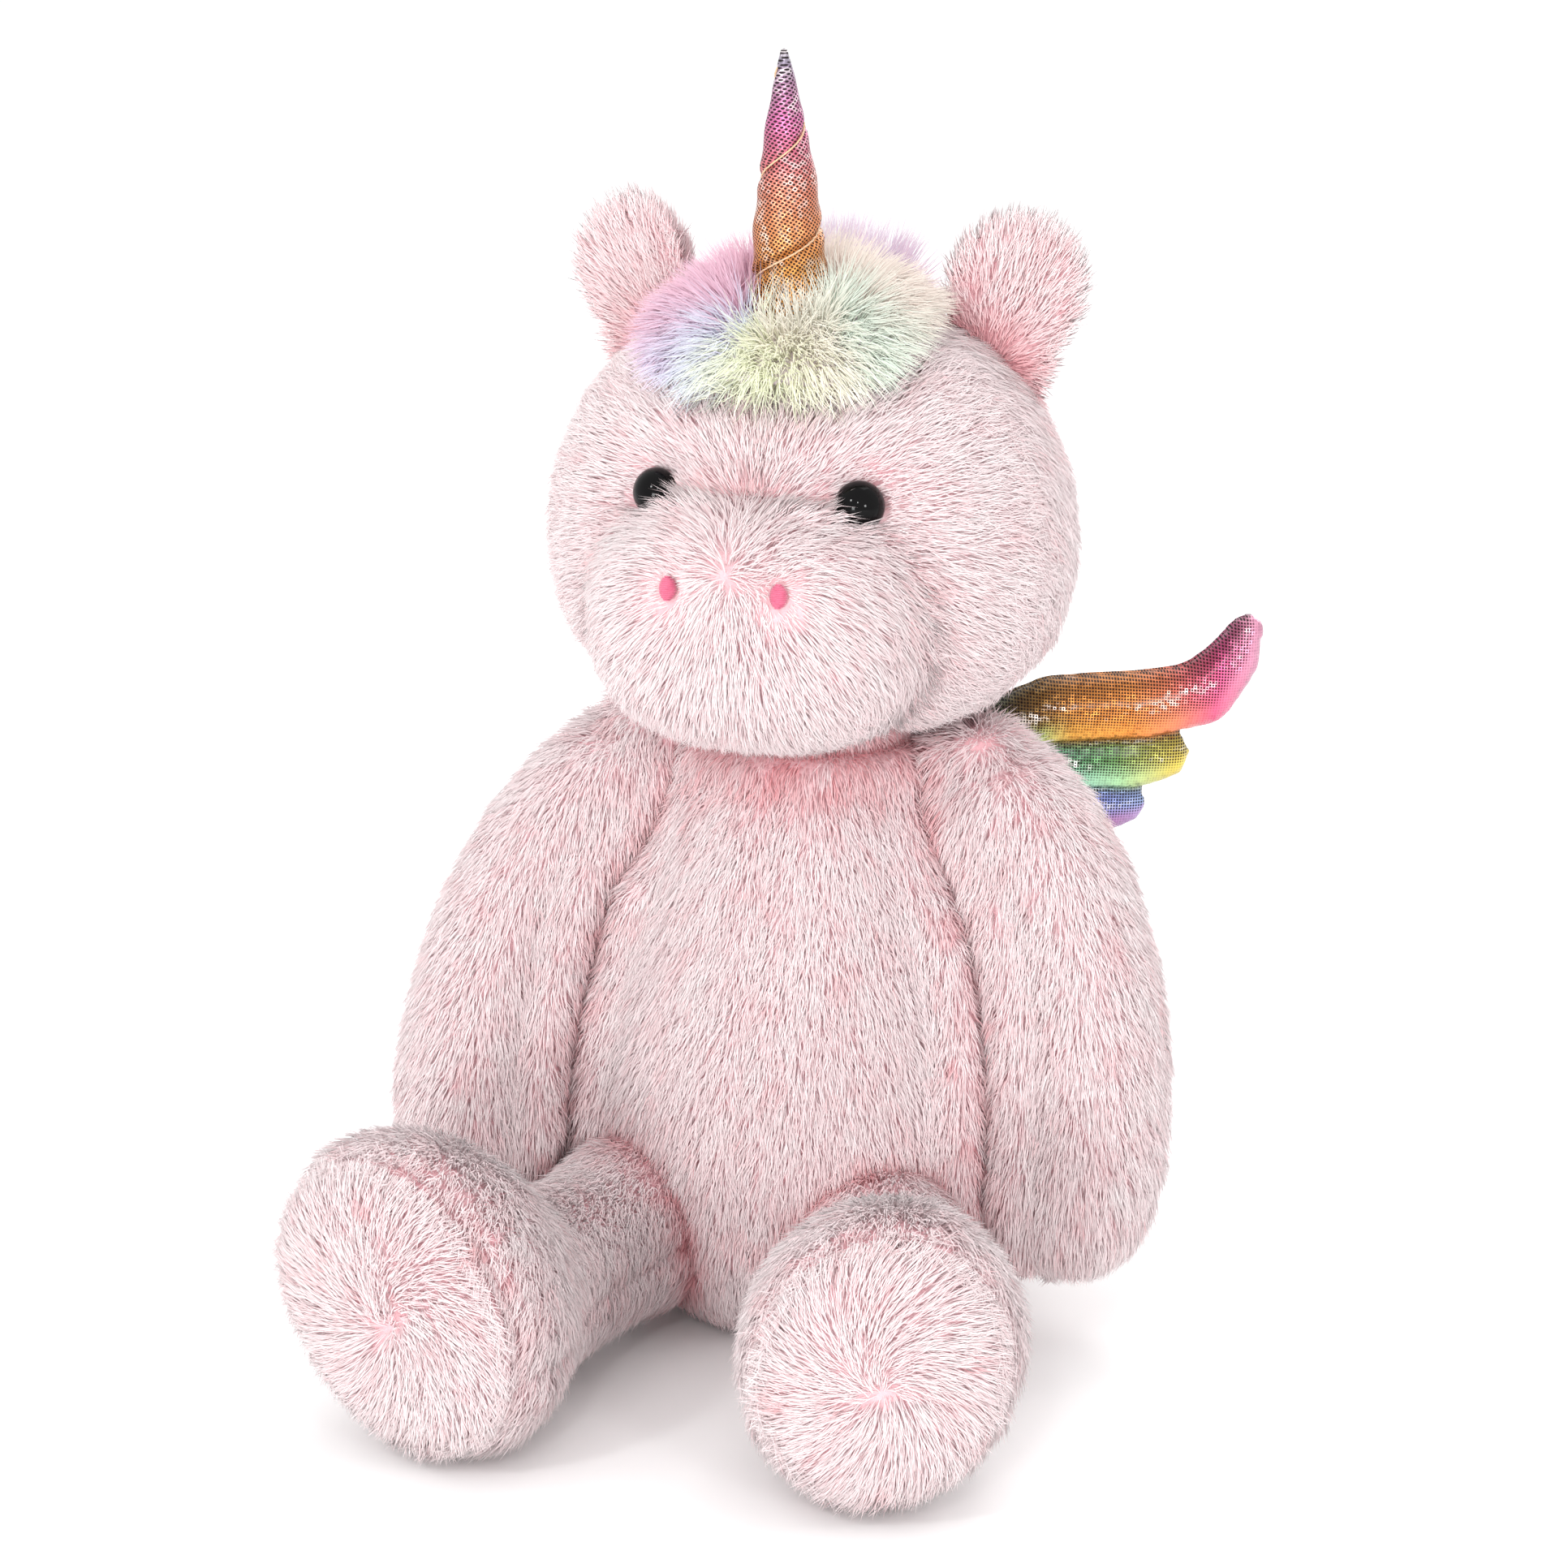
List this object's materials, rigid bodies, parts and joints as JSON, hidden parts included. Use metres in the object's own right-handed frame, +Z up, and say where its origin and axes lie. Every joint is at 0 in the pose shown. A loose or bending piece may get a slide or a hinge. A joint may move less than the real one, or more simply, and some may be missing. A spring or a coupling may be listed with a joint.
{
  "type": "plush unicorn",
  "caption": "Seated soft plush unicorn with long pink pile, tie-dyed forelock, foil-dotted spiral horn and small feathered wings.",
  "frame": {"origin": "centre of the whole toy's box, on the surface that it sits on", "axes": "+Z up, the toy faces -Y and its own left side is +X"},
  "size_m": [0.1935, 0.2629, 0.3118],
  "materials": {
    "pink_pile": "long soft pile",
    "ear_pile": "long soft pile, deeper pink",
    "rainbow_pile": "tie-dyed long pile",
    "filling": "fluffy polyester fibre",
    "pellet_bag": "woven bag of plastic pellets",
    "label": "blank satin ribbon",
    "eye": "high gloss",
    "washer": "moulded",
    "nostril_thread": "satin stitch",
    "winding_thread": "twisted thread",
    "horn_foil": "foil-dotted knit, copper to rose",
    "wing_foil": "foil-dotted knit, rainbow"
  },
  "bodies": {
    "torso": {"torso_front_left": "pink_pile", "torso_front_right": "pink_pile", "torso_back_left": "pink_pile", "torso_back_right": "pink_pile", "torso_base": "pink_pile", "torso_filling": "filling", "pellet_bag": "pellet_bag", "care_label": "label"},
    "neck": {"neck_filling": "filling"},
    "head": {"head_left": "pink_pile", "head_right": "pink_pile", "chin_panel": "pink_pile", "muzzle_panel": "pink_pile", "muzzle_filling": "filling", "head_filling": "filling", "eye_left": "eye", "eye_right": "eye", "eye_washer_left": "washer", "eye_washer_right": "washer", "nostril_left": "nostril_thread", "nostril_right": "nostril_thread", "forelock": "rainbow_pile", "mane_strip": "rainbow_pile"},
    "horn": {"horn_cover": "horn_foil", "horn_filling": "filling", "horn_thread": "winding_thread"},
    "tail": {"tail": "rainbow_pile"},
    "ear_left": {"ear_inner_left": "ear_pile", "ear_outer_left": "pink_pile"},
    "arm_left": {"arm_front_left": "pink_pile", "arm_back_left": "pink_pile", "arm_filling_left": "filling"},
    "leg_left": {"leg_top_left": "pink_pile", "leg_under_left": "pink_pile", "sole_left": "pink_pile", "leg_filling_left": "filling"},
    "wing_left": {"wing_front_left": "wing_foil", "wing_back_left": "wing_foil", "wing_filling_left": "filling"},
    "ear_right": {"ear_inner_right": "ear_pile", "ear_outer_right": "pink_pile"},
    "arm_right": {"arm_front_right": "pink_pile", "arm_back_right": "pink_pile", "arm_filling_right": "filling"},
    "leg_right": {"leg_top_right": "pink_pile", "leg_under_right": "pink_pile", "sole_right": "pink_pile", "leg_filling_right": "filling"},
    "wing_right": {"wing_front_right": "wing_foil", "wing_back_right": "wing_foil", "wing_filling_right": "filling"}
  },
  "joints": [
    {"name": "neck_turn", "type": "hinge", "parent": "torso", "child": "neck", "pos_m": [0, 0.021, 0.14], "axis": [0, 0, 1], "range_deg": [-30, 30], "stiffness_Nm_per_rad": 0.5},
    {"name": "neck_nod", "type": "hinge", "parent": "neck", "child": "head", "pos_m": [0, 0.021, 0.147], "axis": [1, 0, 0], "range_deg": [-10, 12], "stiffness_Nm_per_rad": 0.9},
    {"name": "horn_tilt", "type": "hinge", "parent": "head", "child": "horn", "pos_m": [0, 0.003, 0.2495], "axis": [1, 0, 0], "range_deg": [-12, 12], "stiffness_Nm_per_rad": 0.05},
    {"name": "tail_lift", "type": "hinge", "parent": "torso", "child": "tail", "pos_m": [0, 0.0824, 0.034], "axis": [1, 0, 0], "range_deg": [-8, 16], "stiffness_Nm_per_rad": 0.03},
    {"name": "ear_flop_left", "type": "hinge", "parent": "head", "child": "ear_left", "pos_m": [0.0395, 0.03, 0.233], "axis": [0.9118, 0.2273, -0.342], "range_deg": [-20, 12], "stiffness_Nm_per_rad": 0.03},
    {"name": "shoulder_left", "type": "hinge", "parent": "torso", "child": "arm_left", "pos_m": [0.047, 0.021, 0.13], "axis": [-0.9986, 0.0523, 0], "range_deg": [-9, 62], "stiffness_Nm_per_rad": 0.06},
    {"name": "hip_left", "type": "hinge", "parent": "torso", "child": "leg_left", "pos_m": [0.032, -0.023, 0.0265], "axis": [0.9511, 0.309, 0], "range_deg": [-20, 60]},
    {"name": "wing_flap_left", "type": "hinge", "parent": "torso", "child": "wing_left", "pos_m": [0.017, 0.071, 0.122], "axis": [0, 0, 1], "range_deg": [-20, 30], "stiffness_Nm_per_rad": 0.02},
    {"name": "ear_flop_right", "type": "hinge", "parent": "head", "child": "ear_right", "pos_m": [-0.0395, 0.03, 0.233], "axis": [0.9118, -0.2273, 0.342], "range_deg": [-20, 12], "stiffness_Nm_per_rad": 0.03},
    {"name": "shoulder_right", "type": "hinge", "parent": "torso", "child": "arm_right", "pos_m": [-0.047, 0.021, 0.13], "axis": [-0.9986, -0.0523, 0], "range_deg": [-30, 50], "stiffness_Nm_per_rad": 0.06},
    {"name": "hip_right", "type": "hinge", "parent": "torso", "child": "leg_right", "pos_m": [-0.032, -0.023, 0.0265], "axis": [0.9781, -0.2079, 0], "range_deg": [-20, 60]},
    {"name": "wing_flap_right", "type": "hinge", "parent": "torso", "child": "wing_right", "pos_m": [-0.017, 0.071, 0.122], "axis": [0, 0, -1], "range_deg": [-20, 30], "stiffness_Nm_per_rad": 0.02}
  ]
}
